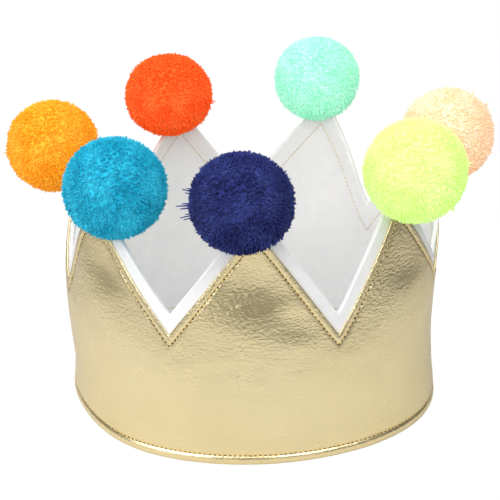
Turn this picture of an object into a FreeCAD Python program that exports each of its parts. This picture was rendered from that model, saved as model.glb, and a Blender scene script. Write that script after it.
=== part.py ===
"""A dress-up crown sewn from gold leather-look fabric and white felt, with a yarn pompom on each point.

The crown stands on its hem, with +Z up and the wearer's face towards -Y. The origin is the centre of
the head opening, on the surface that the hem stands on. Sizes are millimetres.

The band is one strip of gold fabric backed by one strip of felt. Both are cut to the same zigzag, the
felt a little larger, so that it shows as a white border. Along the hem the gold is folded double behind
its stitching, so it stands out there. The strip is bent to a closed plan and its two ends meet at the
back, where a hook tape inside is sewn to one end and grips the felt of the other. A thread loop sewn
through each tip of the felt holds a pompom.
"""
import FreeCAD
import Part
import math
import os

from FreeCAD import Placement, Rotation, Vector

# Plan of the outer face, from above: arcs that follow each other smoothly, the same left and right.
FRONT_RADIUS = 104.5        # the front is a little flatter than a circle
CORNER_RADIUS = 73.0        # it rounds off beside the front
SIDE_RADIUS = 86.5
FRONT_TURN = 26.0           # degrees that each arc turns, from the front centre to the back centre
CORNER_TURN = 46.0
SIDE_TURN = 60.0

# Fabrics
GOLD_THICKNESS = 0.8
FELT_THICKNESS = 2.2

# Zigzag
POINT_COUNT = 7
NOTCH_HEIGHT = 63.5         # bottom of a notch in the gold
POINT_HEIGHT = 115.5        # tip of a point in the gold
FELT_BORDER = 5.6           # how far the felt stands out past the gold, square to the cut edge
LIMB_STEPS = 3              # straight steps that follow the wall's curve along one side of a notch

# Hem
HEM_TURN_UP = 6.5           # height of the double gold
HEM_LAYER = 0.9             # the second layer of gold and the play between the two
HEM_RUN_OUT = 1.7           # height in which the gold falls back to the felt above the hem
HEM_CHAMFER = 0.7           # of the fold's outer edge
FELT_BOTTOM = 0.8

# Machine stitching, as a line of thread on the face of the fabric
THREAD_WIDTH = 0.6
THREAD_PROUD = 0.3
TOP_STITCH_INSET = 3.2      # from the cut edge of the gold, square to it
HEM_STITCH_HEIGHT = 4.6

# Closure at the back
SEAM_GAP = 0.6              # between the two ends of the strip
HOOK_TAPE_THICKNESS = 1.2
HOOK_TAPE_WIDTH = 24.0
HOOK_TAPE_HEIGHT = 30.0
HOOK_TAPE_BOTTOM = 16.0
HOOK_TAPE_CORNER = 3.0
TAPE_STITCH_INSET = 2.5     # from the tape's edges and from the seam

# Pompoms
TUFT_HEIGHT = 2.0           # how far each tuft of yarn ends stands up from the ball
TUFT_SPLIT = 3              # each of a ball's 20 sides is split this many times along each edge
SLOT_CLEARANCE = 0.3        # between the yarn and what it is sewn over
TIP_ROOM_HEIGHT = 40.0      # of the slot in the yarn, below the tip of the felt
TIE_THREAD = 0.9            # the thread loop's thickness
TIE_RADIUS = 4.5            # of the loop
TIE_SIDES = 6               # straight runs of the loop
TIE_CLEARANCE = 0.1         # round the thread, in the yarn and in its needle hole
NEEDLE_DEPTH = 6.0          # needle hole below the tip of the felt

# Each pompom, from the wearer's right round the front to the left: which point it is sewn to, counted
# from the front one, its width, its height over its width, and how far its centre lies from the tip
# of the felt along the band to the wearer's left, outwards and up.
POMPOMS = {
    "orange": (-3, 46.0, 0.93, 5.0, -5.5, 3.5),
    "yellow": (-2, 45.5, 1.00, 4.0, 9.5, -5.5),
    "teal": (-1, 47.0, 1.00, 7.5, -4.5, 0.0),
    "navy": (0, 46.0, 0.96, -5.0, 4.0, 3.5),
    "lime": (1, 47.0, 1.00, 1.0, 4.0, 5.0),
    "peach": (2, 46.0, 1.00, -5.0, 12.5, -3.5),
    "mint": (3, 45.0, 1.00, -0.5, 0.5, 7.5),
}

UP = Vector(0, 0, 1)
BACK_HEADING = 180.0

# Faces of the wall, as distances out from the outer face of the gold.
FELT_OUTSIDE = -GOLD_THICKNESS
FELT_INSIDE = FELT_OUTSIDE - FELT_THICKNESS
TAPE_INSIDE = FELT_INSIDE - HOOK_TAPE_THICKNESS


def outward(heading):
    """Direction out of the band, where a walk round it goes at this heading (0 is towards +X)."""
    angle = math.radians(heading)
    return Vector(math.sin(angle), -math.cos(angle), 0)


def along(heading):
    """Direction of a walk at this heading. Seen from above, the walk goes anticlockwise."""
    angle = math.radians(heading)
    return Vector(math.cos(angle), math.sin(angle), 0)


def right_arcs():
    """Arcs of the outer face from the front centre to the back centre: (centre, radius, start, turn)."""
    turns = [FRONT_TURN, CORNER_TURN, SIDE_TURN]
    turns.append(BACK_HEADING - sum(turns))
    starts = [sum(turns[:index]) for index in range(len(turns))]
    radii = [FRONT_RADIUS, CORNER_RADIUS, SIDE_RADIUS]

    # The back arc's radius is the one that brings the walk back to the middle.
    reach = [math.sin(math.radians(start + turn)) - math.sin(math.radians(start))
             for start, turn in zip(starts, turns)]
    radii.append(-sum(radius * part for radius, part in zip(radii, reach)) / reach[-1])

    centres = [Vector(0, 0, 0)]
    for index in range(1, len(radii)):
        shift = radii[index - 1] - radii[index]
        centres.append(centres[-1] + outward(starts[index]) * shift)
    front = centres[0] + outward(0) * radii[0]
    back = centres[-1] + outward(BACK_HEADING) * radii[-1]
    middle = (front + back) * 0.5
    return [(centre - middle, radius, start, turn)
            for centre, radius, start, turn in zip(centres, radii, starts, turns)]


def mirrored(vector):
    return Vector(-vector.x, vector.y, vector.z)


ARCS = right_arcs()
BACK_CENTRE, BACK_RADIUS = ARCS[-1][0], ARCS[-1][1]
HALF_LENGTH = sum(radius * math.radians(turn) for _, radius, _, turn in ARCS)
PITCH = 2 * HALF_LENGTH / POINT_COUNT

# The zigzag, in the flat pattern: a line that moves 1 mm square to itself gains this much height.
RISE = POINT_HEIGHT - NOTCH_HEIGHT
LIFT = math.hypot(PITCH / 2, RISE) / (PITCH / 2)
FELT_LIFT = FELT_BORDER * LIFT
FELT_TIP_HEIGHT = POINT_HEIGHT + FELT_LIFT


def locate(distance):
    """Place on the outer face this far round from the front centre, towards +X: (point, heading)."""
    distance = (distance + HALF_LENGTH) % (2 * HALF_LENGTH) - HALF_LENGTH
    left = abs(distance)
    for centre, radius, start, turn in ARCS:
        length = radius * math.radians(turn)
        if left <= length:
            break
        left -= length
    heading = start + math.degrees(left / radius)
    point = centre + outward(heading) * radius
    if distance < 0:
        return mirrored(point), -heading
    return point, heading


def back_turn(distance):
    """Degrees that a walk of this length turns at the back."""
    return math.degrees(distance / BACK_RADIUS)


def whole_walk(trim):
    """Arcs of the whole plan from the back round to it again, stopped short by trim at both ends."""
    walk = [(mirrored(centre), radius, -start - turn, turn) for centre, radius, start, turn in reversed(ARCS)]
    walk += ARCS
    cut = back_turn(trim)
    centre, radius, start, turn = walk[0]
    walk[0] = (centre, radius, start + cut, turn - cut)
    centre, radius, start, turn = walk[-1]
    walk[-1] = (centre, radius, start, turn - cut)
    return walk


def back_walk(first, last):
    """One arc across the back, between two distances past the seam."""
    start = BACK_HEADING + back_turn(first)
    return [(BACK_CENTRE, BACK_RADIUS, start, back_turn(last - first))]


def sweep(section, walk):
    """The section, drawn with X outwards and Z up, carried along each arc of the walk."""
    spans = []
    for centre, radius, start, turn in walk:
        face = section.copy()
        face.Placement = Placement(centre + outward(start) * radius, Rotation(UP, start - 90))
        spans.append(face.revolve(centre, UP, turn))
    if len(spans) == 1:
        return spans[0]
    return spans[0].multiFuse(spans[1:]).removeSplitter()


def rectangle(inner, outer, bottom, top):
    """Upright section between two distances out from the outer face and two heights."""
    corners = [Vector(inner, 0, bottom), Vector(outer, 0, bottom), Vector(outer, 0, top), Vector(inner, 0, top)]
    return Part.Face(Part.makePolygon(corners + corners[:1]))


def gold_section(top):
    """A tall wall that is double and stands out along the hem."""
    outline = [
        Vector(FELT_OUTSIDE, 0, 0),
        Vector(HEM_LAYER - HEM_CHAMFER, 0, 0),
        Vector(HEM_LAYER, 0, HEM_CHAMFER),
        Vector(HEM_LAYER, 0, HEM_TURN_UP),
        Vector(0, 0, HEM_TURN_UP + HEM_RUN_OUT),
        Vector(0, 0, top),
        Vector(FELT_OUTSIDE, 0, top),
    ]
    return Part.Face(Part.makePolygon(outline + outline[:1]))


def zigzag_height(distance, lift):
    """Height of the zigzag line at a distance round, moved up by lift."""
    from_tip = abs((distance + PITCH / 2) % PITCH - PITCH / 2)
    return POINT_HEIGHT + lift - RISE * from_tip / (PITCH / 2)


def ruled_body(distances, inner, outer, heights):
    """Solid through upright rectangles square to the wall, with a (bottom, top) height at each distance."""
    wires = []
    for distance in distances:
        point, heading = locate(distance)
        bottom, top = heights(distance)
        near = point + outward(heading) * inner
        far = point + outward(heading) * outer
        corners = [near + UP * bottom, far + UP * bottom, far + UP * top, near + UP * top]
        wires.append(Part.makePolygon(corners + corners[:1]))
    return Part.makeLoft(wires, True, True)


def notches(lift):
    """What a zigzag line leaves above it, moved up by lift: one solid for each notch, from tip to tip."""
    reach = 3 * (GOLD_THICKNESS + FELT_THICKNESS)
    over = FELT_TIP_HEIGHT + FELT_LIFT
    cutters = []
    for index in range(POINT_COUNT):
        middle = (index + 0.5) * PITCH
        distances = [middle + step * PITCH / 2 / LIMB_STEPS for step in range(-LIMB_STEPS, LIMB_STEPS + 1)]
        cutters.append(ruled_body(
            distances, -reach, reach, lambda distance: (zigzag_height(distance, lift), over)))
    return cutters


def zigzag_thread(inner, outer):
    """Thread that follows the zigzag at its inset, between two distances out from the outer face."""
    lift = -TOP_STITCH_INSET * LIFT
    half = THREAD_WIDTH / 2 * LIFT
    low = NOTCH_HEIGHT + lift - 2 * half
    sheet = sweep(rectangle(inner, outer, low, FELT_TIP_HEIGHT), whole_walk(SEAM_GAP))
    strips = []
    for index in range(POINT_COUNT):
        middle = (index + 0.5) * PITCH
        distances = [middle + step * PITCH / 2 / LIMB_STEPS for step in range(-LIMB_STEPS, LIMB_STEPS + 1)]
        strips.append(ruled_body(
            distances, inner - THREAD_PROUD, outer + THREAD_PROUD,
            lambda distance: (zigzag_height(distance, lift - half), zigzag_height(distance, lift + half))))
    ribbon = strips[0].multiFuse(strips[1:])
    return sheet.common(ribbon)


def hem_thread():
    """Thread round the hem, drawn as a ridge."""
    half = THREAD_WIDTH / 2
    outline = [
        Vector(HEM_LAYER, 0, HEM_STITCH_HEIGHT - half),
        Vector(HEM_LAYER + THREAD_PROUD, 0, HEM_STITCH_HEIGHT),
        Vector(HEM_LAYER, 0, HEM_STITCH_HEIGHT + half),
    ]
    return sweep(Part.Face(Part.makePolygon(outline + outline[:1])), whole_walk(SEAM_GAP))


def tape():
    """Hook tape across the seam, its corners cut off."""
    half = HOOK_TAPE_WIDTH / 2
    sheet = sweep(
        rectangle(TAPE_INSIDE, FELT_INSIDE, HOOK_TAPE_BOTTOM, HOOK_TAPE_BOTTOM + HOOK_TAPE_HEIGHT),
        back_walk(-half, half))
    corners = [edge for edge in sheet.Edges if abs(edge.Length - HOOK_TAPE_THICKNESS) < 1e-3]
    return sheet.makeChamfer(HOOK_TAPE_CORNER, corners)


def tape_thread():
    """Thread in a rectangle on the half of the tape that is sewn down."""
    inner = TAPE_INSIDE - THREAD_PROUD
    first = TAPE_STITCH_INSET
    last = HOOK_TAPE_WIDTH / 2 - TAPE_STITCH_INSET
    low = HOOK_TAPE_BOTTOM + TAPE_STITCH_INSET
    high = HOOK_TAPE_BOTTOM + HOOK_TAPE_HEIGHT - TAPE_STITCH_INSET
    outside = sweep(rectangle(inner, TAPE_INSIDE, low, high), back_walk(first, last))
    inside = sweep(
        rectangle(inner - THREAD_PROUD, TAPE_INSIDE, low + THREAD_WIDTH, high - THREAD_WIDTH),
        back_walk(first + THREAD_WIDTH, last - THREAD_WIDTH))
    return outside.cut(inside)


def ball_sides():
    """The 20 sides of an icosahedron, as corners on a ball of radius 1."""
    golden = (1 + math.sqrt(5)) / 2
    corners = []
    for one in (-1, 1):
        for other in (-golden, golden):
            corners += [Vector(0, one, other), Vector(one, other, 0), Vector(other, 0, one)]
    edge = 2.0
    sides = []
    for first in range(len(corners)):
        for second in range(first + 1, len(corners)):
            for third in range(second + 1, len(corners)):
                side = [corners[first], corners[second], corners[third]]
                lengths = [side[0].distanceToPoint(side[1]), side[1].distanceToPoint(side[2]),
                           side[2].distanceToPoint(side[0])]
                if max(lengths) < edge * 1.01:
                    sides.append(side)
    return sides


def split_side(side):
    """One side cut into TUFT_SPLIT squared smaller triangles and blown out on to the ball."""
    def node(row, place):
        first, second, third = side
        spot = first * (TUFT_SPLIT - row) + second * (row - place) + third * place
        return spot.normalize()

    small = []
    for row in range(TUFT_SPLIT):
        for place in range(row + 1):
            small.append([node(row, place), node(row + 1, place), node(row + 1, place + 1)])
            if place < row:
                small.append([node(row, place), node(row + 1, place + 1), node(row, place + 1)])
    return small


def tufted_ball(width, height_ratio):
    """Ball of yarn ends: every small triangle of the ball is raised to a blunt point."""
    tip_radius = width / 2
    base_radius = tip_radius - TUFT_HEIGHT

    def squashed(vector):
        return Vector(vector.x, vector.y, vector.z * height_ratio)

    faces = []
    for side in ball_sides():
        for small in split_side(side):
            base = [squashed(corner * base_radius) for corner in small]
            middle = small[0] + small[1] + small[2]
            tip = squashed(middle.normalize() * tip_radius)
            for index in range(3):
                outline = [base[index], base[(index + 1) % 3], tip, base[index]]
                faces.append(Part.Face(Part.makePolygon(outline)))
    shell = Part.makeShell(faces)
    shell.sewShape()
    ball = Part.makeSolid(Part.Shell(shell.Faces))
    if ball.Volume < 0:
        ball.reverse()
    return ball


def tip_room(point_index):
    """Room that the yarn leaves for one point: a flat wedge with a clearance round the wall and its threads."""
    top = POINT_HEIGHT + FELT_LIFT + SLOT_CLEARANCE * LIFT
    bottom = FELT_TIP_HEIGHT - TIP_ROOM_HEIGHT
    half = (top - bottom) / RISE * PITCH / 2
    point, heading = locate(point_index * PITCH)
    side = locate(point_index * PITCH + half)[0]
    falls_back = (point - side).dot(outward(heading))
    inner = FELT_INSIDE - THREAD_PROUD - SLOT_CLEARANCE - falls_back
    outer = THREAD_PROUD + SLOT_CLEARANCE
    outline = [Vector(-half, -outer, bottom), Vector(half, -outer, bottom), Vector(0, -outer, top)]
    wedge = Part.Face(Part.makePolygon(outline + outline[:1])).extrude(Vector(0, outer - inner, 0))
    wedge.Placement = Placement(point, Rotation(UP, heading))
    return wedge


def polygon_plate(radius, thickness):
    """Flat plate with TIE_SIDES sides, centred on the origin and square to X."""
    outline = []
    for index in range(TIE_SIDES + 1):
        angle = math.radians(360.0 * (index + 0.5) / TIE_SIDES)
        outline.append(Vector(-thickness / 2, radius * math.sin(angle), -radius * math.cos(angle)))
    return Part.Face(Part.makePolygon(outline)).extrude(Vector(thickness, 0, 0))


def tie_loop(point_index, clearance):
    """Loop of thread through the needle hole of one tip, upright and square to the felt."""
    point, heading = locate(point_index * PITCH)
    middle = point + outward(heading) * ((FELT_INSIDE + FELT_OUTSIDE) / 2)
    centre = middle + UP * (FELT_TIP_HEIGHT - NEEDLE_DEPTH + TIE_RADIUS)
    thickness = TIE_THREAD + 2 * clearance
    loop = polygon_plate(TIE_RADIUS + thickness / 2, thickness)
    loop = loop.cut(polygon_plate(TIE_RADIUS - thickness / 2, 2 * thickness))
    loop.Placement = Placement(centre, Rotation(UP, heading))
    return loop


def pompom(point_index, width, height_ratio, sideways, outwards, up):
    """One ball of yarn, slotted over its tip and round its tie."""
    point, heading = locate(point_index * PITCH)
    middle = (FELT_INSIDE + FELT_OUTSIDE) / 2 + outwards
    centre = point + outward(heading) * middle + along(heading) * sideways + UP * (FELT_TIP_HEIGHT + up)
    ball = tufted_ball(width, height_ratio)
    ball.Placement = Placement(centre, Rotation(UP, heading))
    return ball.cut(tip_room(point_index)).cut(tie_loop(point_index, TIE_CLEARANCE))


def build():
    """Every piece of the crown, by name."""
    ends = SEAM_GAP / 2
    pieces = {}
    gold = sweep(gold_section(POINT_HEIGHT + FELT_LIFT), whole_walk(ends))
    pieces["gold_band"] = gold.cut(notches(0))

    felt = sweep(rectangle(FELT_INSIDE, FELT_OUTSIDE, FELT_BOTTOM, FELT_TIP_HEIGHT + FELT_LIFT), whole_walk(ends))
    needle_holes = [tie_loop(pompom_values[0], TIE_CLEARANCE) for pompom_values in POMPOMS.values()]
    pieces["felt_lining"] = felt.cut(notches(FELT_LIFT)).cut(needle_holes)

    pieces["top_stitching"] = zigzag_thread(0, THREAD_PROUD)
    pieces["lining_stitching"] = zigzag_thread(FELT_INSIDE - THREAD_PROUD, FELT_INSIDE)
    pieces["hem_stitching"] = hem_thread()
    pieces["hook_tape"] = tape()
    pieces["tape_stitching"] = tape_thread()

    for colour, values in POMPOMS.items():
        pieces["pompom_" + colour] = pompom(*values)
        pieces["pompom_tie_" + colour] = tie_loop(values[0], 0)
    return pieces


os.makedirs("parts", exist_ok=True)
for name, shape in build().items():
    shape.exportStep("parts/" + name + ".step")
    box = shape.BoundBox
    print(name, "solids", len(shape.Solids), "valid", shape.isValid(), "volume", round(shape.Volume),
          "box", [round(value, 1) for value in (box.XMin, box.YMin, box.ZMin, box.XMax, box.YMax, box.ZMax)])
print("outer length", round(2 * HALF_LENGTH, 1), "pitch", round(PITCH, 2), "back radius", round(BACK_RADIUS, 2))
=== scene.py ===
# %% [markdown]
# # A sewn crown with yarn pompoms
# The crown is a strip of gold, leather-look fabric backed with thick white felt. Its top edge is cut in a
# zigzag, and a pompom of cut yarn sits on each of its seven points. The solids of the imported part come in
# first. They fix every size and place, and the looks are built round them.

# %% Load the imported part
import math
import random

import bmesh
import bpy
from mathutils import Matrix, Vector, noise


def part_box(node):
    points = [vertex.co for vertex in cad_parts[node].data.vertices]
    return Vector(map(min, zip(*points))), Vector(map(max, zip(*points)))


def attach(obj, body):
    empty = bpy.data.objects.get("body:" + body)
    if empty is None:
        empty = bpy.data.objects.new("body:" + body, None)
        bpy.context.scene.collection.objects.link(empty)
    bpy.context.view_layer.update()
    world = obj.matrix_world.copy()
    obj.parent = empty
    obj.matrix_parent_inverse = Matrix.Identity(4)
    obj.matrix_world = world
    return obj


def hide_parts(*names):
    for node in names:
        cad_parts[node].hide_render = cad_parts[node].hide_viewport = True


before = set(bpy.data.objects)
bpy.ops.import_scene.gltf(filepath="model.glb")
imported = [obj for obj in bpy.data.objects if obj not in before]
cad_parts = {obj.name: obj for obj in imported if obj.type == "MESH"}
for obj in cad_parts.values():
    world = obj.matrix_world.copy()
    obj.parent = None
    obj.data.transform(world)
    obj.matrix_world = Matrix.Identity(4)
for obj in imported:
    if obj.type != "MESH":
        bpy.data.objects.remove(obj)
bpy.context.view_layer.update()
print("packed pieces:", len(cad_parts))

# %% [markdown]
# ## Sizes
# The cloth is cut flat and then bent, so it is easiest to think in the flat pattern: a distance round the
# band from the front centre, and a height. These are the same sizes as the solids have, in millimetres.

# %% Sizes of the band
MM = 0.001
# Radius and turn in degrees of each arc of the plan, from the front centre. One more arc closes it.
PLAN = [(104.5, 26.0), (73.0, 46.0), (86.5, 60.0)]
POINTS = 7
NOTCH_HEIGHT = 63.5
POINT_HEIGHT = 115.5
FELT_BORDER = 5.6         # how far the felt stands out past the gold, square to the cut edge
GOLD = 0.8
FELT = 2.2
SEAM_GAP = 0.6            # between the two ends of the strip, at the back
HEM_TURN_UP = 6.5
HEM_GAP = 0.1             # between the two layers of gold in the hem
HEM_RUN_OUT = 15.0        # height in which the gold falls back to the felt, above the hem's seam
STITCH_INSET = 3.2        # of the top seam, from the gold's cut edge
HEM_STITCH = 4.6          # height of the hem's seam

# %% [markdown]
# ## From the flat pattern to the bent band
# Seen from above, the band is a chain of arcs that flow into each other. One function walks along them and
# gives the place and the direction at any distance. Every piece of the band uses it, so they stay together.

# %% Walk round the plan
def outward(heading):
    return Vector((math.sin(heading), -math.cos(heading), 0))


def plan_arcs():
    """Centre, radius, first heading and turn of each arc, from the front centre to the back centre."""
    turns = [math.radians(turn) for radius, turn in PLAN]
    turns.append(math.pi - sum(turns))
    starts = [sum(turns[:index]) for index in range(len(turns))]
    reach = [math.sin(start + turn) - math.sin(start) for start, turn in zip(starts, turns)]
    radii = [radius for radius, turn in PLAN]
    radii.append(-sum(radius * part for radius, part in zip(radii, reach)) / reach[-1])
    centres = [Vector((0, 0, 0))]
    for index in range(1, len(radii)):
        centres.append(centres[-1] + outward(starts[index]) * (radii[index - 1] - radii[index]))
    middle = (centres[0] + outward(0) * radii[0] + centres[-1] + outward(math.pi) * radii[-1]) / 2
    return [(centre - middle, radius, start, turn)
            for centre, radius, start, turn in zip(centres, radii, starts, turns)]


ARCS = plan_arcs()
HALF_LENGTH = sum(radius * turn for centre, radius, start, turn in ARCS)
PITCH = 2 * HALF_LENGTH / POINTS
LIFT = math.hypot(PITCH / 2, POINT_HEIGHT - NOTCH_HEIGHT) / (PITCH / 2)   # height of 1 mm of border


def locate(distance):
    """Point on the gold's outer face, and the heading of the walk there."""
    distance = (distance + HALF_LENGTH) % (2 * HALF_LENGTH) - HALF_LENGTH
    left = abs(distance)
    for centre, radius, start, turn in ARCS:
        if left <= radius * turn:
            break
        left -= radius * turn
    heading = start + left / radius
    point = centre + outward(heading) * radius
    if distance < 0:
        return Vector((-point.x, point.y, 0)), -heading
    return point, heading


def zigzag(distance, border=0.0):
    """Height of the cut edge at a distance round, moved out by a border square to the edge."""
    from_tip = abs((distance + PITCH / 2) % PITCH - PITCH / 2)
    return POINT_HEIGHT - (POINT_HEIGHT - NOTCH_HEIGHT) * from_tip / (PITCH / 2) + border * LIFT


print("length round the outside, mm:", round(2 * HALF_LENGTH, 1))

# %% [markdown]
# ## How the soft band settles
# Cloth never stands as straight as a drawing. Each point leans its own way under its pompom, the notches
# give a little between them, and the wall has slow waves and a few broad swells. The same movement goes
# into the gold, the felt and the thread, so that the layers stay together.

# %% Lean and slow waves
# How far each point's tip leans out, along the band and up. Point 0 is the front one.
POINT_LEAN = {-3: (-11, 0, -5), -2: (-5, 0, -4), -1: (0, -3, 1), 0: (0, 1, -1.5),
              1: (-4, -5, -2), 2: (7, 0, -2), 3: (-5, -8, 0)}
# How far each notch leans out and up. Notch 0 is the one between points 0 and 1.
NOTCH_LEAN = {-3: (-3, 0), -2: (-2, 2), -1: (0, -1.2), 0: (0, -2.4), 1: (0, 1), 2: (-5, 0), 3: (-5, 0)}
# Place round the band and up it, half width, half height and how far each swell stands out.
SWELLS = [
    (-98, 0, 34, 32, -3.0), (98, 0, 34, 30, 2.6), (-128, 62, 36, 26, 1.6), (125, 66, 36, 30, 2.0),
    (-3, 91, 20, 15, -3.5), (16, 73, 11, 8, -1.0), (-72, 87, 12, 10, -1.2), (78, 86, 13, 10, -1.3),
]
LEAN_CURVE = 1.3          # above 1, a point bends more towards its tip
NOTCH_REACH = 10          # distance beside a notch in which the lean of the point sets in
SHORT_WAVE = 1.3          # height of the waves that are a few centimetres long
LONG_WAVE = 0.8           # height of the waves that run up the whole wall
TIP_HEIGHT = POINT_HEIGHT + FELT_BORDER * LIFT


def smooth(value):
    """0 below 0, 1 above 1 and smooth between."""
    value = min(max(value, 0), 1)
    return value * value * (3 - 2 * value)


def settle(distance, out, height):
    """Place in metres of a point of the flat pattern, once the band is bent and has settled."""
    index = (round(distance / PITCH) + 3) % POINTS - 3
    notch = (math.floor(distance / PITCH) + 3) % POINTS - 3
    lean_out, lean_along, lean_up = POINT_LEAN[index]
    notch_out, notch_up = NOTCH_LEAN[notch]
    from_notch = abs(distance % PITCH - PITCH / 2)
    climb = min(max((height - NOTCH_HEIGHT) / (TIP_HEIGHT - NOTCH_HEIGHT), 0), 1)
    bend = climb ** LEAN_CURVE * smooth(from_notch / NOTCH_REACH)
    near_notch = 0.5 - 0.5 * math.cos(math.tau * distance / PITCH)
    fold = near_notch * min(1, max(height, 0) / NOTCH_HEIGHT) ** 2
    wave = noise.noise(Vector((distance / 34, height / 46, 3.1))) * SHORT_WAVE * min(1, height / 30)
    wave += noise.noise(Vector((distance / 60, 8.5, height / 200))) * LONG_WAVE
    out += lean_out * bend + notch_out * fold + wave
    for middle, level, wide, tall, amount in SWELLS:
        out += amount * math.exp(-((distance - middle) / wide) ** 2 - ((height - level) / tall) ** 2)
    point, heading = locate(distance + lean_along * bend)
    place = point + outward(heading) * out
    place.z = height + lean_up * bend + notch_up * fold * (1 - climb)
    return place * MM


def facing(distance, height):
    """Outward direction of the settled wall, from its slope over 1 mm each way."""
    half = 0.5
    sideways = settle(distance + half, 0, height) - settle(distance - half, 0, height)
    upwards = settle(distance, 0, height + half) - settle(distance, 0, height - half)
    return sideways.cross(upwards).normalized()


print("front point leans to, mm:", [round(value * 1000, 1) for value in settle(0, 0, TIP_HEIGHT)])

# %% [markdown]
# ## Camera
# The photograph looks a little down on the crown from the front, through a long lens. The camera circles
# the crown's axis, so its place is one distance, one angle down and one small angle round. It is also
# tipped by half a degree.

# %% Camera
AIM = Vector((0.35, 0, 69.2)) * MM
DISTANCE = 731 * MM
LOOK_DOWN = math.radians(23.81)
ROUND = math.radians(-1.375)
TIPPED = math.radians(-0.54)
LENS = 108.6
SENSOR_WIDTH = 36

back = Vector((0, -math.cos(LOOK_DOWN), math.sin(LOOK_DOWN))) * DISTANCE
back.rotate(Matrix.Rotation(ROUND, 3, "Z"))
camera_data = bpy.data.cameras.new("camera")
camera_data.lens = LENS
camera_data.sensor_width = SENSOR_WIDTH
camera_data.clip_start = 0.01
camera = bpy.data.objects.new("camera", camera_data)
camera.matrix_world = (Matrix.Translation(AIM + back) @ back.to_track_quat("Z", "Y").to_matrix().to_4x4()
                       @ Matrix.Rotation(TIPPED, 4, "Z"))
bpy.context.scene.collection.objects.link(camera)
bpy.context.scene.camera = camera
print("camera at, m:", [round(value, 3) for value in camera.location])

# %% [markdown]
# ## Shader maths
# A material is a graph of nodes, which is slow to wire by hand. `Value` wraps one output so that Python's
# own operators add the Math nodes, and `Paint` makes any other node from its type, settings and inputs.

# %% Small helpers for materials
class Value:
    """One output of a shader node, used in sums like a number."""

    def __init__(self, paint, socket):
        self.paint = paint
        self.socket = socket

    def maths(self, operation, first, second):
        return self.paint.node("ShaderNodeMath", {"operation": operation}, {0: first, 1: second})

    def __add__(self, other):
        return self.maths("ADD", self, other)

    def __radd__(self, other):
        return self.maths("ADD", other, self)

    def __mul__(self, other):
        return self.maths("MULTIPLY", self, other)

    def between(self, low, high):
        """0 below low, 1 above high and smooth between."""
        return self.paint.node(
            "ShaderNodeMapRange", {"interpolation_type": "SMOOTHSTEP"},
            {"Value": self, "From Min": low, "From Max": high})


class Paint:
    """A material and the nodes that it is made of."""

    def __init__(self, name, **shader_values):
        self.material = bpy.data.materials.new(name)
        self.material.use_nodes = True
        self.tree = self.material.node_tree
        self.shader = self.tree.nodes["Principled BSDF"]
        for key, value in shader_values.items():
            self.shader.inputs[key.replace("_", " ")].default_value = value

    def node(self, kind, settings=None, inputs=None, output=0):
        new = self.tree.nodes.new(kind)
        for key, value in (settings or {}).items():
            setattr(new, key, value)
        for key, value in (inputs or {}).items():
            self.feed(new.inputs[key], value)
        return Value(self, new.outputs[output])

    def feed(self, socket, value):
        if isinstance(value, Value):
            self.tree.links.new(value.socket, socket)
        else:
            socket.default_value = value

    def to_shader(self, name, value):
        self.feed(self.shader.inputs[name], value)

    def place(self, scale=(1, 1, 1), offset=(0, 0, 0)):
        """Place on the piece, in metres, stretched for a pattern."""
        where = self.node("ShaderNodeTexCoord", output="Object")
        return self.node("ShaderNodeMapping", {}, {"Vector": where, "Scale": scale, "Location": offset})

    def noise(self, size, detail=2.0, stretch=(1, 1, 1), offset=(0, 0, 0)):
        """Cloudy noise with blotches of about this size in metres."""
        where = self.place([value / size for value in stretch], offset)
        return self.node("ShaderNodeTexNoise", {}, {"Vector": where, "Scale": 1.0, "Detail": detail})

    def mix(self, factor, first, second):
        return self.node(
            "ShaderNodeMix", {"data_type": "RGBA"}, {0: factor, 6: first, 7: second}, output=2)

    def bump(self, height, distance, strength):
        self.to_shader("Normal", self.node(
            "ShaderNodeBump", {}, {"Height": height, "Distance": distance, "Strength": strength}))


def shade(red, green, blue):
    """Colour of a screen value from 0 to 255, as light."""
    def light(value):
        value /= 255
        return value / 12.92 if value <= 0.04045 else ((value + 0.055) / 1.055) ** 2.4
    return (light(red), light(green), light(blue), 1.0)


def grey(level):
    """Grey of this share of white, as light."""
    return (level, level, level, 1)


def add_piece(name, bm, paint):
    """Turns a finished bmesh into an object of the scene."""
    mesh = bpy.data.meshes.new(name)
    bm.to_mesh(mesh)
    bm.free()
    mesh.materials.append(paint.material)
    piece = bpy.data.objects.new(name, mesh)
    bpy.context.scene.collection.objects.link(piece)
    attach(piece, "root")
    return piece


print("helpers ready")

# %% [markdown]
# ## Gold fabric's finish
# It is a knitted backing with a metallic film pressed on to it. The film is a satin gold, a metal with soft
# reflections. It has a fine pebble grain, which stands out most where the points bend, and long shallow
# dents. The grain is bump, because it is far smaller than the mesh. The folds are in the mesh.

# %% Gold finish
gold_paint = Paint("gold_film", Metallic=1.0)
tint = gold_paint.noise(0.035, 3.0)
gold_paint.to_shader("Base Color", gold_paint.mix(tint, shade(240, 221, 170), shade(247, 231, 187)))
worn = gold_paint.noise(0.012, 4.0, offset=(3, 1, 7))
gold_paint.to_shader("Roughness", 0.22 + worn * 0.14)
grain = gold_paint.noise(0.0014, 2.0, stretch=(0.8, 0.8, 1.25))
wrinkles = gold_paint.noise(0.0040, 2.0, stretch=(0.7, 0.7, 1.5), offset=(11, 5, 2))
soft_dents = gold_paint.noise(0.018, 1.0, stretch=(0.8, 0.8, 1.3), offset=(1, 8, 3))
height_up = gold_paint.node("ShaderNodeSeparateXYZ", {}, {0: gold_paint.place()}, output="Z")
near_points = height_up.between(0.045, 0.080)
patches = gold_paint.noise(0.045, 1.0, offset=(4, 9, 1)).between(0.25, 0.75)
creased = near_points * patches
relief = grain * (0.22 + creased * 0.8) + wrinkles * (0.05 + creased * 0.07) + soft_dents * 0.8
gold_paint.bump(relief, 0.0010, 0.8)
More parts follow.
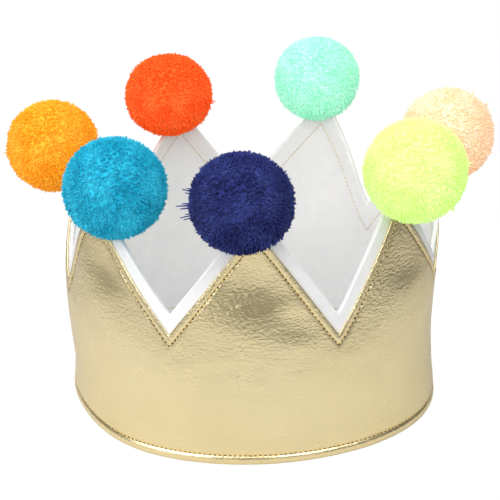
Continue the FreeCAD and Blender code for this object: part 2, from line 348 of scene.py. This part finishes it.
print("gold nodes:", len(gold_paint.tree.nodes))

# %% [markdown]
# ## Felt's finish
# Felt is matted fibre. It has no weave, only a soft cloudiness and short hairs, and it scatters light so
# that it never shines.

# %% Felt finish
felt_paint = Paint("white_felt", Roughness=0.95, Sheen_Weight=0.25, Sheen_Roughness=0.6)
cloud = felt_paint.noise(0.008, 4.0)
felt_paint.to_shader("Base Color", felt_paint.mix(cloud, shade(240, 241, 243), shade(252, 252, 252)))
fibres = felt_paint.noise(0.0009, 4.0)
lumps = felt_paint.noise(0.004, 3.0, offset=(2, 2, 5))
felt_paint.bump(fibres * 0.5 + lumps * 0.8, 0.0007, 0.55)
print("felt nodes:", len(felt_paint.tree.nodes))

# %% [markdown]
# ## Gold strip
# The strip starts as a flat grid. Its columns are steps round the band. Its rows go down the turned-up
# layer of the hem, round the fold and up the outside to the cut edge. They crowd together at the two seams,
# where the thread pulls the fabric into a groove.

# %% Rows of the gold strip
GOLD_MIDDLE = -GOLD / 2
FOLD_RADIUS = (GOLD + HEM_GAP) / 2
FOLD_STEPS = 6
TURN_UP_ROWS = [HEM_TURN_UP, 4.6, 3.0, 1.6]
# Heights of the lowest rows of the wall, and how far the highest ones lie inside the cut edge.
LOW_ROWS = [1.6, 2.4, 3.2, 3.8, 4.2, 4.6, 5.0, 5.4, 6.2, 7.2, 8.4, 10.0, 12.0]
EDGE_ROWS = [7.0, 5.4, 4.4, 3.8, 3.4, 3.2, 3.0, 2.6, 2.0, 1.2, 0.5, 0.0]
BODY_ROWS = 30


def hem_rows():
    """Out and height of the rows down the turned-up layer and round the fold."""
    rows = [(GOLD_MIDDLE, height) for height in TURN_UP_ROWS]
    low = GOLD / 2 + FOLD_RADIUS
    for step in range(FOLD_STEPS + 1):
        angle = math.pi * (1 + step / FOLD_STEPS)
        out = GOLD_MIDDLE + FOLD_RADIUS * (1 + math.cos(angle))
        rows.append((out, low + FOLD_RADIUS * math.sin(angle)))
    return rows


def wall_heights(distance, border, body_rows, low_rows, edge_rows):
    """Heights of the rows up the wall, from the lowest to the cut edge."""
    edge = zigzag(distance, border)
    high = [edge - inset * LIFT for inset in edge_rows]
    low = low_rows[-1]
    body = [low + (high[0] - low) * (step + 1) / body_rows for step in range(body_rows - 1)]
    return low_rows + body + high


print("rows of the hem:", len(hem_rows()))

# %% [markdown]
# ## Relief of the cloth
# Thread pulls the gold into a groove, and between the top seam and the edge, and along the hem, the cloth
# swells again. Short puckers run off the top seam. Where the points bend, a few soft dents with shallow
# ripples in them catch the light.

# %% Grooves, puckers and dents
TOP_GROOVE = (0.44, 0.6)  # depth and half width of the groove that the thread pulls
HEM_GROOVE = (0.60, 0.7)
EDGE_SWELL = 0.34
HEM_SWELL = 0.45
PUCKER = 0.24
PUCKER_REACH = 4
RIPPLE_STEP = 2.1         # a ripple's length, over a full turn in radians
RIPPLE_WOBBLE = 1.7
RIPPLE_SHARE = 0.22       # how much of a crease is ripple, and how much a plain dent
DENT_SHARE = 0.78
# Place round the band and up it, half width, half height, slope and depth of each creased patch.
CREASES = [
    (-10, 84, 13, 8, -0.35, 0.7), (7, 84, 13, 8, -0.35, 0.95), (19, 68, 9, 5, -0.2, 0.6),
    (0, 101, 12, 4, 0.0, 0.3), (PITCH + 2, 86, 12, 9, 0.1, 0.4), (-PITCH - 3, 88, 13, 7, -0.2, 0.4),
    (2 * PITCH, 90, 12, 8, 0.2, 0.4), (-2 * PITCH, 92, 12, 8, -0.2, 0.4),
]


def groove(away, depth, width):
    """How far thread pulls the fabric in at a distance from its line."""
    return -depth * math.exp(-(away / width) ** 2)


def gold_relief(distance, height):
    """How far the gold stands out from its plain wall, in millimetres."""
    inset = (zigzag(distance) - height) / LIFT
    relief = groove(inset - STITCH_INSET, *TOP_GROOVE)
    relief += groove(height - HEM_STITCH, *HEM_GROOVE)
    if 0 < inset < STITCH_INSET:
        relief += EDGE_SWELL * math.sin(math.pi * inset / STITCH_INSET)
    if height < HEM_STITCH:
        relief += HEM_SWELL * math.sin(math.pi * max(height, 0) / HEM_STITCH)
    near_stitch = math.exp(-(max(inset - STITCH_INSET, 0) / PUCKER_REACH) ** 2) if inset > 0 else 0
    pucker = noise.noise(Vector((distance / 2.4, height / 5, 0.4)))
    relief += PUCKER * pucker * near_stitch
    return relief


def hem_step(height):
    """How far the outer layer of the hem stands out over the layer that is turned up behind it."""
    return (GOLD + HEM_GAP) * (1 - smooth((height - HEM_STITCH) / HEM_RUN_OUT))


def creases(distance, height):
    """Soft dents where the points bend, in millimetres."""
    depth = 0.0
    for middle, level, wide, tall, slope, amount in CREASES:
        across = (distance - middle) / wide
        up = (height - level) / tall
        fade = math.exp(-across * across - up * up)
        if fade > 0.01:
            line = (height - level) + slope * (distance - middle)
            wobble = RIPPLE_WOBBLE * noise.noise(Vector((distance / 11, height / 9, 7.7)))
            ripple = math.sin(line / RIPPLE_STEP + wobble)
            depth += amount * fade * (RIPPLE_SHARE * ripple - DENT_SHARE)
    return depth


def gold_surface(distance, out, height):
    """Settled place of a point of the gold's outer wall, with its relief."""
    out += gold_relief(distance, height) + creases(distance, height) + hem_step(height)
    return settle(distance, out, height)


print("depth of the top groove, mm:", TOP_GROOVE[0])

# %% [markdown]
# ## Bend the gold
# Each vertex of the grid moves to its place on the settled wall, which bends the strip. A Solidify modifier
# then gives it its thickness.

# %% Build the gold strip
GOLD_COLUMNS = 32         # along each limb of the zigzag


def build_strip(limb_columns, column_rows):
    """Grid bent to the band. Each row of a column is (out, height, the surface that settles it)."""
    columns = limb_columns * 2 * POINTS
    row_count = len(column_rows(0))
    usable = 2 * HALF_LENGTH - SEAM_GAP
    strip = bmesh.new()
    bmesh.ops.create_grid(strip, x_segments=columns, y_segments=row_count - 1, size=0.5)
    rows_at = {}
    for vertex in strip.verts:
        column = round((vertex.co.x + 0.5) * columns)
        distance = (column / columns - 0.5) * usable
        if column not in rows_at:
            rows_at[column] = column_rows(distance)
        row = round((vertex.co.y + 0.5) * (row_count - 1))
        out, height, surface = rows_at[column][row]
        vertex.co = surface(distance, out, height)
    bmesh.ops.recalc_face_normals(strip, faces=strip.faces)
    return strip


def gold_rows(distance):
    """Rows of the gold from the turn-up's top, round the fold and up to the cut edge."""
    hem = [(out, height, settle) for out, height in hem_rows()]
    wall = wall_heights(distance, 0, BODY_ROWS, LOW_ROWS, EDGE_ROWS)
    return hem + [(GOLD_MIDDLE, height, gold_surface) for height in wall]


def smooth_faces(piece):
    for polygon in piece.data.polygons:
        polygon.use_smooth = True


def thicken(piece, thickness):
    """Gives a sheet its thickness, half to each side."""
    solidify = piece.modifiers.new("thickness", "SOLIDIFY")
    solidify.thickness = thickness
    solidify.offset = 0
    smooth_faces(piece)


bm = build_strip(GOLD_COLUMNS, gold_rows)
gold_area = sum(face.calc_area() for face in bm.faces)
gold_strip = add_piece("gold_strip", bm, gold_paint)
thicken(gold_strip, GOLD * MM)
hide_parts("gold_band")
print("gold area, m2:", round(gold_area, 4), "faces:", len(gold_strip.data.polygons))

# %% [markdown]
# ## Felt strip
# The felt is the same strip with a larger zigzag and more thickness. Its cut edge shows as a white border
# all round the points, so its edge is softened with a small bevel. It follows the gold's dents, so that it
# never pokes through.

# %% Build the felt strip
FELT_MIDDLE = -GOLD - FELT / 2
FELT_BOTTOM = 0.6
FELT_LOW_ROWS = [FELT_BOTTOM, 3.0, 4.0, 4.6, 5.2, 7.0, 12.0]
FELT_EDGE_ROWS = [12.0, 9.6, 8.8, 8.0, 5.0, 2.5, 0.8, 0.0]
FELT_BODY_ROWS = 18
FELT_COLUMNS = 16         # along each limb of the zigzag
FELT_PINCH = (0.12, 1.2)  # depth and half width
FELT_LUMP = 0.08


def felt_surface(distance, out, height):
    """Settled place of a point of the felt, pinched a little where the seams run."""
    inset = (zigzag(distance, FELT_BORDER) - height) / LIFT
    pinch = groove(inset - STITCH_INSET - FELT_BORDER, *FELT_PINCH)
    pinch += groove(height - HEM_STITCH, *FELT_PINCH)
    lump = FELT_LUMP * noise.noise(Vector((distance / 7, height / 7, 2.2)))
    return settle(distance, out - pinch + lump + creases(distance, height), height)


def felt_rows(distance):
    wall = wall_heights(distance, FELT_BORDER, FELT_BODY_ROWS, FELT_LOW_ROWS, FELT_EDGE_ROWS)
    return [(FELT_MIDDLE, height, felt_surface) for height in wall]


bm = build_strip(FELT_COLUMNS, felt_rows)
felt_area = sum(face.calc_area() for face in bm.faces)
felt_strip = add_piece("felt_strip", bm, felt_paint)
thicken(felt_strip, FELT * MM)
soften = felt_strip.modifiers.new("soft edge", "BEVEL")
soften.width = 0.5 * MM
soften.segments = 2
soften.limit_method = "ANGLE"
soften.angle_limit = math.radians(60)
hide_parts("felt_lining")
print("felt area, m2:", round(felt_area, 4))

# %% [markdown]
# ## Cloth sizes
# Both strips are sheets of cloth. The flat length is the length round the band. The flat width goes from
# the lower edge to the tips, and the gold's also takes in its turned-up layer and the fold.

FOLD_WIDTH = 1.0          # of cloth that goes round the hem's fold
gold_width = (POINT_HEIGHT + HEM_TURN_UP + FOLD_WIDTH) * MM
felt_width = (TIP_HEIGHT - FELT_BOTTOM) * MM
2 * HALF_LENGTH * MM
2 * HALF_LENGTH * MM
print("flat widths, mm:", round(gold_width / MM, 1), round(felt_width / MM, 1))

# %% [markdown]
# ## Stitches
# A sewing machine leaves a row of short stitches with a small gap between each, where the thread dives
# through the fabric. One stitch is a little six-sided bar, arched so that its ends sink in. Between two
# stitches the needle leaves a small hole, and a dark flattened ball in it stands for the shade there: painted
# shade.

# %% One stitch and one ball of painted shade for a needle hole
THREAD = 0.7
STITCH_STEP = 2.3
STITCH_LENGTH = 1.9
THINNER_END = 0.45        # how much of its thickness a stitch loses at its ends
SUNK_END = 0.30           # how far its ends sink in
PIT_RADIUS = 0.75


def one_stitch():
    """A stitch along X, with its ends lower and thinner."""
    stitch = bmesh.new()
    bmesh.ops.create_cone(stitch, cap_ends=True, segments=6, radius1=THREAD / 2, radius2=THREAD / 2,
                          depth=STITCH_LENGTH)
    bmesh.ops.rotate(stitch, verts=stitch.verts, matrix=Matrix.Rotation(math.pi / 2, 3, "Y"))
    for cut in (-0.3, 0.0, 0.3):
        bmesh.ops.bisect_plane(stitch, geom=stitch.verts[:] + stitch.edges[:] + stitch.faces[:],
                               plane_co=(cut * STITCH_LENGTH, 0, 0), plane_no=(1, 0, 0))
    for vertex in stitch.verts:
        along = abs(vertex.co.x) / (STITCH_LENGTH / 2)
        slimmer = 1 - THINNER_END * along ** 3
        vertex.co.y *= slimmer
        vertex.co.z = vertex.co.z * slimmer - SUNK_END * along ** 3
    bmesh.ops.scale(stitch, verts=stitch.verts, vec=(MM, MM, MM))
    mesh = bpy.data.meshes.new("stitch")
    stitch.to_mesh(mesh)
    stitch.free()
    return mesh


def hole_shade_ball():
    """Dark flattened ball that stands for the shade in a needle hole: painted shade."""
    pit = bmesh.new()
    bmesh.ops.create_icosphere(pit, subdivisions=1, radius=PIT_RADIUS * MM)
    bmesh.ops.scale(pit, verts=pit.verts, vec=(0.7, 1.0, 0.35))
    mesh = bpy.data.meshes.new("pit")
    pit.to_mesh(mesh)
    pit.free()
    return mesh


stitch_mesh = one_stitch()
hole_shade_mesh = hole_shade_ball()
print("faces in a stitch:", len(stitch_mesh.polygons))

# %% [markdown]
# ## Where the seams run
# A seam is a list of steps. Each step is a pair of places in the flat pattern, one stitch apart.

# %% Steps of the seams
SEAM_END = 0.5            # a seam stops this far from the back centre
HEM_SEAM_END = 1


def along_zigzag(inset):
    """Steps along every limb, at an inset from the gold's cut edge."""
    pairs = []
    limb = math.hypot(PITCH / 2, POINT_HEIGHT - NOTCH_HEIGHT)
    count = round(limb / STITCH_STEP)
    for index in range(2 * POINTS):
        first = (index - POINTS) * PITCH / 2
        for step in range(count):
            ends = [first + (step + part) / count * PITCH / 2 for part in (0.0, 1.0)]
            if max(abs(end) for end in ends) < HALF_LENGTH - SEAM_END:
                pairs.append([(end, zigzag(end, -inset)) for end in ends])
    return pairs


def along_hem(height):
    """Steps round the whole band at one height."""
    length = 2 * HALF_LENGTH - 2 * HEM_SEAM_END
    count = round(length / STITCH_STEP)
    step = length / count
    first = HEM_SEAM_END - HALF_LENGTH
    return [((first + index * step, height), (first + (index + 1) * step, height))
            for index in range(count)]


def between_stitches(steps):
    """The same steps moved on by half a stitch, so that they lie over the gaps."""
    moved = []
    for (first, low), (second, high) in steps:
        ahead = (second - first) / 2
        rise = (high - low) / 2
        moved.append(((first + ahead, low + rise), (second + ahead, high + rise)))
    return moved


top_steps = along_zigzag(STITCH_INSET)
hem_steps = along_hem(HEM_STITCH)
print("steps of the seams:", len(top_steps), len(hem_steps))

# %% [markdown]
# ## Sew the seams
# A copy of the stitch lies on each step. It follows the settled cloth, a little above it, and each one is
# turned and moved by a hair, as a machine does it.

# %% Lay stitches along the seams
# Side of the band that thread lies on: its surface, how far out that is, and which way it faces.
OUTSIDE = (gold_surface, 0.0, 1)
INSIDE = (felt_surface, -GOLD - FELT, -1)
STITCH_TURN = 0.3         # most that a stitch turns about its own length, in radians
STITCH_SLIP = 0.12        # most that it lies beside its line
ON_GOLD = 0.16            # how far the middle of the thread lies above the cloth
ON_FELT = 0.05
PIT_LIFT = 0.10
sewing = random.Random(5)


def lay_stitches(bm, mesh, steps, side, lift):
    """Adds a copy of a small mesh on each step."""
    surface, out, facing_out = side
    for (first, low), (second, high) in steps:
        start = surface(first, out, low)
        end = surface(second, out, high)
        middle = surface((first + second) / 2, out, (low + high) / 2)
        run = (end - start).normalized()
        up = facing((first + second) / 2, (low + high) / 2) * facing_out
        up = (up - run * up.dot(run)).normalized()
        up.rotate(Matrix.Rotation(sewing.uniform(-STITCH_TURN, STITCH_TURN), 3, run))
        across = up.cross(run)
        turn = Matrix((run, across, up)).transposed().to_4x4()
        slip = across * sewing.uniform(-STITCH_SLIP, STITCH_SLIP) * MM
        placed = mesh.copy()
        placed.transform(Matrix.Translation(middle + up * lift * MM + slip) @ turn)
        bm.from_mesh(placed)
        bpy.data.meshes.remove(placed)


def seam(name, mesh, steps, side, lift, paint, replaced):
    bm = bmesh.new()
    lay_stitches(bm, mesh, steps, side, lift)
    bmesh.ops.recalc_face_normals(bm, faces=bm.faces)
    piece = add_piece(name, bm, paint)
    smooth_faces(piece)
    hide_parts(*replaced)
    print(name, "stitches:", len(steps))


gold_thread = Paint("gold_thread", Roughness=0.45)
plies = gold_thread.noise(0.0007, 1.0).between(0.4, 0.6)
gold_thread.to_shader("Base Color", gold_thread.mix(plies, shade(196, 164, 96), shade(236, 212, 150)))
lining_thread = Paint("lining_thread", Roughness=0.7)
pale_plies = lining_thread.noise(0.0006, 1.0)
lining_thread.to_shader(
    "Base Color", lining_thread.mix(pale_plies, shade(206, 190, 150), shade(232, 222, 196)))
# Needle holes are painted shade: a dark brown that stands for the shade inside each hole.
hole_shade_paint = Paint("needle_hole_shade", Roughness=0.9, Base_Color=shade(74, 56, 26))

seam("top_seam", stitch_mesh, top_steps, OUTSIDE, ON_GOLD, gold_thread, ["top_stitching"])
seam("lining_seam", stitch_mesh, top_steps, INSIDE, ON_FELT, lining_thread, ["lining_stitching"])
seam("hem_seam", stitch_mesh, hem_steps, OUTSIDE, ON_GOLD, gold_thread, ["hem_stitching"])
seam("hem_seam_inside", stitch_mesh, hem_steps, INSIDE, ON_FELT, lining_thread, [])
# A dark ball between each two stitches: painted shade in the needle holes.
seam("top_holes", hole_shade_mesh, between_stitches(top_steps), OUTSIDE, PIT_LIFT, hole_shade_paint, [])
seam("hem_holes", hole_shade_mesh, between_stitches(hem_steps), OUTSIDE, PIT_LIFT, hole_shade_paint, [])

# %% [markdown]
# ## Pompoms
# A pompom is yarn wound round a former, tied in the middle, cut and clipped to a ball. What shows is a
# dense pile of fine cut ends, so each ball gets about ten thousand of them. The ends stand on the corners
# of a fine ball, which Geometry Nodes can do in one go: it puts a copy of one yarn end on every corner,
# turned outwards and tilted at random. The ball is shaped first, so the pile follows its lumps.

# %% One yarn end
PILE = 3.6                # length of a yarn end
END_RADIUS = 0.62         # at its foot
TIP_RADIUS = 0.24


def one_yarn_end():
    """A slim blunt spike of yarn along Z, with no base."""
    end = bmesh.new()
    bmesh.ops.create_cone(end, cap_ends=True, segments=3, radius1=END_RADIUS * MM,
                          radius2=TIP_RADIUS * MM, depth=PILE * MM)
    bmesh.ops.translate(end, verts=end.verts, vec=(0, 0, PILE * MM / 2))
    base = [face for face in end.faces if face.calc_center_median().z < 0.01 * MM]
    bmesh.ops.delete(end, geom=base, context="FACES_ONLY")
    mesh = bpy.data.meshes.new("yarn_end")
    end.to_mesh(mesh)
    end.free()
    return bpy.data.objects.new("yarn_end", mesh)


yarn_end = one_yarn_end()
bpy.context.scene.collection.objects.link(yarn_end)
print("faces in a yarn end:", len(yarn_end.data.polygons))

# %% Cover a ball with yarn ends
TILT = 0.17               # most that an end tilts each way, for 1 of its length
UNEVEN = 0.12             # most that an end is longer or shorter, for 1 of its length
LUMPS = 0.02              # most that a ball bulges, for 1 of its radius


def pile_nodes(name, seed):
    """Geometry Nodes that stand a yarn end on every corner of a mesh."""
    group = bpy.data.node_groups.new(name, "GeometryNodeTree")
    group.interface.new_socket("Geometry", in_out="INPUT", socket_type="NodeSocketGeometry")
    group.interface.new_socket("Geometry", in_out="OUTPUT", socket_type="NodeSocketGeometry")

    def node(kind, settings=None, inputs=None):
        new = group.nodes.new(kind)
        for key, value in (settings or {}).items():
            setattr(new, key, value)
        for key, value in (inputs or {}).items():
            if isinstance(value, bpy.types.NodeSocket):
                group.links.new(value, new.inputs[key])
            else:
                new.inputs[key].default_value = value
        return new

    start = node("NodeGroupInput")
    normal = node("GeometryNodeInputNormal")
    lean = node("FunctionNodeRandomValue", {"data_type": "FLOAT_VECTOR"},
                {0: (-TILT, -TILT, -TILT), 1: (TILT, TILT, TILT), "Seed": seed})
    direction = node("ShaderNodeVectorMath", {"operation": "ADD"},
                     {0: normal.outputs[0], 1: lean.outputs[0]})
    turned = node("FunctionNodeAlignRotationToVector", {"axis": "Z"}, {"Vector": direction.outputs[0]})
    size = node("FunctionNodeRandomValue", {"data_type": "FLOAT"},
                {2: 1 - UNEVEN, 3: 1 + UNEVEN, "Seed": seed + 1})
    source = node("GeometryNodeObjectInfo", {"transform_space": "ORIGINAL"}, {"Object": yarn_end})
    copies = node("GeometryNodeInstanceOnPoints", {}, {
        "Points": start.outputs[0], "Instance": source.outputs["Geometry"],
        "Rotation": turned.outputs[0], "Scale": size.outputs[1]})
    real = node("GeometryNodeRealizeInstances", {}, {"Geometry": copies.outputs[0]})
    node("NodeGroupOutput", {}, {"Geometry": real.outputs[0]})
    return group


def shaped_ball(detail, radius, squash, centre, jitter, draw):
    """Ball of small triangles, squashed, a little lumpy and a little uneven."""
    ball = bmesh.new()
    bmesh.ops.create_icosphere(ball, subdivisions=detail, radius=1)
    for vertex in ball.verts:
        along = vertex.co.normalized()
        bulge = 1 + LUMPS * noise.noise(along * 1.6 + centre * 40) + LUMPS * 0.5 * noise.noise(along * 4.5)
        nudge = Vector((draw.uniform(-1, 1), draw.uniform(-1, 1), draw.uniform(-1, 1))) * jitter
        vertex.co = along * radius * bulge + nudge
        vertex.co.z *= squash
    bmesh.ops.translate(ball, verts=ball.verts, vec=centre)
    return ball


print("yarn ends tilt by up to, degrees:", round(math.degrees(math.atan(TILT))))

# %% [markdown]
# ## Stray yarn
# A few ends escape the clippers and stick out in little tufts. The photograph shows where.

# %% Stray ends
# Direction from the ball's centre, length past the ball and radius of each tuft's ends.
STRAYS = {
    "navy": [((-0.95, -0.10, 0.30), 3.6, 0.5), ((-1.0, -0.12, 0.02), 5.2, 0.6),
             ((-0.97, -0.10, -0.19), 4.0, 0.4)],
    "peach": [((0.5, 0.1, 0.86), 2.6, 0.8), ((0.8, 0.1, 0.6), 2.8, 0.9), ((0.9, 0.0, -0.4), 2.4, 0.8)],
    "lime": [((0.9, -0.2, 0.2), 2.4, 0.8), ((0.7, -0.2, -0.68), 2.2, 0.7), ((0.1, 0.1, 1.0), 2.2, 0.9)],
    "yellow": [((0.8, -0.3, 0.5), 2.2, 0.8), ((-1.0, -0.1, -0.1), 2.0, 0.6)],
    "orange": [((1.0, -0.2, -0.1), 2.2, 0.7)],
}
STRAY_ROOT = 3            # how deep a stray end starts inside the ball
STRAY_TIP = 0.2
TUFT = [(-0.05, 0.8), (0.0, 1.0), (0.04, 0.7)]   # lift and share of the length of each of its three ends


def stray_ends(bm, centre, radius, direction, length, thick):
    """A little tuft of three ends that escaped the clippers."""
    for lift, share in TUFT:
        long = (length + STRAY_ROOT) * share * MM
        made = bmesh.ops.create_cone(bm, cap_ends=True, segments=5, radius1=thick * MM,
                                     radius2=STRAY_TIP * MM, depth=long)
        heading = Vector(direction).normalized() + Vector((0, 0, lift))
        aim = heading.to_track_quat("Z", "Y").to_matrix().to_4x4()
        middle = centre + heading * (radius - STRAY_ROOT * MM + long / 2)
        bmesh.ops.transform(bm, verts=made["verts"], matrix=Matrix.Translation(middle) @ aim)


print("tufts:", sum(len(tufts) for tufts in STRAYS.values()))

# %% [markdown]
# ## A whole pompom
# The pile stands on one ball, and a second, slightly smaller one fills the gaps between the ends. Both have
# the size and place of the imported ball.

# %% Build a pompom
FLUFF = 0.5               # room left for the tips of the ends
SETTLED = {"orange": -1.7, "yellow": -0.6, "teal": -0.7, "mint": -0.7}   # how far each has sunk or risen
PILE_DETAIL = 6           # times that the pile's ball is split into smaller triangles
BODY_DETAIL = 5
PILE_JITTER = 0.45
BODY_JITTER = 0.25
BODY_DEPTH = 1.3          # of the inner ball, below the tips of the ends


def pompom(name, paint, seed):
    """The yarn ball that stands for one packed ball, in that ball's own place and size."""
    low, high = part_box("pompom_" + name)
    low, high = Vector(low), Vector(high)
    size = high - low
    width = (size.x + size.y) / 2
    squash = size.z / width
    centre = (low + high) / 2 + Vector((0, 0, SETTLED.get(name, 0) * MM))
    draw = random.Random(seed)
    radius = width / 2 - FLUFF * MM
    roots = shaped_ball(PILE_DETAIL, radius - PILE * MM, squash, centre, PILE_JITTER * MM, draw)
    piece = add_piece("yarn_" + name, roots, paint)
    pile = piece.modifiers.new("pile", "NODES")
    pile.node_group = pile_nodes("pile_" + name, seed)
    ready = piece.evaluated_get(bpy.context.evaluated_depsgraph_get())
    pile_mesh = bpy.data.meshes.new_from_object(ready)
    piece.modifiers.remove(pile)
    whole = bmesh.new()
    whole.from_mesh(pile_mesh)
    body = shaped_ball(BODY_DETAIL, radius - BODY_DEPTH * MM, squash, centre, BODY_JITTER * MM, draw)
    body_mesh = bpy.data.meshes.new("body")
    body.to_mesh(body_mesh)
    body.free()
    whole.from_mesh(body_mesh)
    for direction, length, thick in STRAYS.get(name, []):
        stray_ends(whole, centre, radius, direction, length, thick)
    whole.to_mesh(piece.data)
    whole.free()
    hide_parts("pompom_" + name)
    "yarn_" + name
    print(name, "faces:", len(piece.data.polygons), "width, mm:", round(width / MM, 1))


# %% [markdown]
# ## Yarn finish
# Yarn ends are matte and furry. Light that goes in between them comes out again in a stronger colour, so
# the ends mix a deep shade and the yarn's own in fine random streaks. Towards their tips, by distance from
# the ball's centre, a pale shade is painted in as painted light. The bright yarns also get a faint painted
# glow of their own colour, which stands for light that the fibres pass on.

# %% Yarn colours
# Deep and own shade of each yarn, its painted tip highlight, and its painted glow.
YARNS = {
    "orange": (shade(250, 92, 16), shade(255, 112, 28), shade(255, 132, 56), 0.16),
    "yellow": (shade(248, 166, 8), shade(255, 186, 28), shade(255, 202, 70), 0.14),
    "teal": (shade(0, 152, 184), shade(14, 186, 216), shade(70, 216, 238), 0.12),
    "navy": (shade(16, 26, 92), shade(36, 48, 126), shade(66, 82, 156), 0.03),
    "lime": (shade(216, 250, 148), shade(226, 255, 164), shade(236, 255, 184), 0.24),
    "peach": (shade(250, 212, 172), shade(255, 228, 198), shade(255, 236, 216), 0.18),
    "mint": (shade(168, 246, 214), shade(192, 255, 230), shade(208, 255, 238), 0.16),
}
FIRST_SEED = 20


def yarn_paint(name, deep, own, tip_highlight, glow):
    low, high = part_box("pompom_" + name)
    centre = (Vector(low) + Vector(high)) / 2
    radius = (Vector(high) - Vector(low)).x / 2
    # The glow is painted light: a faint light of the yarn's own colour, the same strength all over.
    paint = Paint("yarn_" + name, Roughness=0.9, Sheen_Weight=0.05, Sheen_Roughness=0.5,
                  Emission_Strength=glow)
    away = paint.node("ShaderNodeVectorMath", {"operation": "DISTANCE"},
                      {0: paint.place(), 1: tuple(centre)}, output="Value")
    # Paler towards the tips, by distance from the ball's centre: painted light.
    painted_tip_light = away.between(radius * 0.80, radius * 1.0)
    strands = paint.noise(0.0016, 2.0, offset=(1, 2, 3))
    patches = paint.noise(0.009, 2.0)
    mottled = paint.mix(strands.between(0.35, 0.68), deep, own)
    tipped = paint.mix(painted_tip_light * patches.between(0.3, 0.75) * 0.8, mottled, tip_highlight)
    paint.to_shader("Base Color", tipped)
    paint.to_shader("Emission Color", tipped)
    return paint


for number, (name, look) in enumerate(YARNS.items()):
    pompom(name, yarn_paint(name, *look), FIRST_SEED + number)
bpy.data.objects.remove(yarn_end)

# %% [markdown]
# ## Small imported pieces
# The tape at the back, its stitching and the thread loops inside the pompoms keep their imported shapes. They
# only need a finish: a fine woven tape and a plain white thread.

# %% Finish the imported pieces
tape_paint = Paint("hook_tape", Roughness=0.8)
weave = tape_paint.node("ShaderNodeTexWave", {"bands_direction": "Z"},
                        {"Vector": tape_paint.place(), "Scale": 400.0, "Distortion": 0.6})
tape_paint.to_shader("Base Color", tape_paint.mix(weave, shade(222, 221, 217), shade(242, 241, 238)))
tape_paint.bump(weave, 0.0002, 0.5)
white_thread = Paint("white_thread", Roughness=0.7)
fuzz = white_thread.noise(0.0006, 2.0)
white_thread.to_shader("Base Color", white_thread.mix(fuzz, shade(226, 225, 220), shade(246, 245, 242)))


def finish_packed(node_name, paint):
    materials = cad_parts[node_name].data.materials
    materials.clear()
    materials.append(paint.material)


finish_packed("hook_tape", tape_paint)
finish_packed("tape_stitching", white_thread)
for name in YARNS:
    finish_packed("pompom_tie_" + name, white_thread)
print("finished packed pieces:", 2 + len(YARNS))

# %% [markdown]
# ## Floor, background and light
# The picture is a studio shot on white. The floor is plain white to the camera. To everything else it is
# pale near the crown and dark further out, so that the satin gold, which mirrors it, gets darker towards
# its top. The light is a wide soft sky, dark near the horizon, with three large lamps.

# %% Floor
FLOOR_RADIUS = 0.62
FLOOR_WHITE = 1.09        # strength of the white that the camera sees
CAMERA_SHARE = 0.9        # of that white in what the camera sees

floor_paint = Paint("floor", Roughness=0.9)
from_crown = floor_paint.node(
    "ShaderNodeVectorMath", {"operation": "LENGTH"}, {0: floor_paint.place()}, output="Value")
floor_paint.to_shader(
    "Base Color", floor_paint.mix(from_crown.between(0.14, 0.38), grey(0.67), grey(0.26)))
light_path = floor_paint.node("ShaderNodeLightPath", output="Is Camera Ray")
white = floor_paint.node("ShaderNodeEmission", {}, {"Color": grey(1), "Strength": FLOOR_WHITE})
floor_look = floor_paint.node("ShaderNodeMixShader", {}, {
    0: light_path * CAMERA_SHARE, 1: Value(floor_paint, floor_paint.shader.outputs[0]), 2: white})
floor_paint.feed(floor_paint.tree.nodes["Material Output"].inputs["Surface"], floor_look)

bm = bmesh.new()
bmesh.ops.create_circle(bm, cap_ends=True, segments=64, radius=FLOOR_RADIUS)
floor_mesh = bpy.data.meshes.new("floor")
bm.to_mesh(floor_mesh)
bm.free()
floor_mesh.materials.append(floor_paint.material)
floor = bpy.data.objects.new("floor", floor_mesh)
bpy.context.scene.collection.objects.link(floor)
print("floor radius, m:", FLOOR_RADIUS)

# %% Sky
HORIZON = (0.56, 0.16)    # height of the direction, from -1 to 1, and the grey of the sky there
ZENITH = (0.74, 1)
SKY_STRENGTH = 0.9

world = bpy.data.worlds.new("studio")
world.use_nodes = True
bpy.context.scene.world = world
sky = world.node_tree
background = sky.nodes["Background"]
background.inputs["Strength"].default_value = SKY_STRENGTH
where = sky.nodes.new("ShaderNodeTexCoord")
split = sky.nodes.new("ShaderNodeSeparateXYZ")
ramp = sky.nodes.new("ShaderNodeValToRGB")
for element, (height, level) in zip(ramp.color_ramp.elements, (HORIZON, ZENITH)):
    element.position = height
    element.color = grey(level)
seen = sky.nodes.new("ShaderNodeBackground")
seen.inputs["Color"].default_value = grey(1)
path = sky.nodes.new("ShaderNodeLightPath")
choose = sky.nodes.new("ShaderNodeMixShader")
for output, socket in [
    (where.outputs["Generated"], split.inputs[0]),
    (split.outputs["Z"], ramp.inputs[0]),
    (ramp.outputs[0], background.inputs["Color"]),
    (path.outputs["Is Camera Ray"], choose.inputs[0]),
    (background.outputs[0], choose.inputs[1]),
    (seen.outputs[0], choose.inputs[2]),
    (choose.outputs[0], sky.nodes["World Output"].inputs["Surface"]),
]:
    sky.links.new(output, socket)
print("sky nodes:", len(sky.nodes))

# %% Lamps
LIT = Vector((0, 0, 0.06))   # what every lamp points at


def lamp(name, place, size, power):
    data = bpy.data.lights.new(name, "AREA")
    data.shape = "RECTANGLE"
    data.size, data.size_y = size
    data.energy = power
    new = bpy.data.objects.new(name, data)
    turned = (Vector(place) - LIT).to_track_quat("Z", "Y").to_matrix().to_4x4()
    new.matrix_world = Matrix.Translation(Vector(place)) @ turned
    bpy.context.scene.collection.objects.link(new)


lamp("key", (-0.75, -0.75, 0.70), (1.1, 1.1), 10.6)
lamp("fill", (0.45, -0.80, 0.80), (0.6, 0.8), 4.6)
lamp("top", (-0.2, 0.0, 1.2), (1.0, 1.0), 3.4)

scene = bpy.context.scene
scene.view_settings.view_transform = "Standard"
print("lamps:", len(bpy.data.lights))
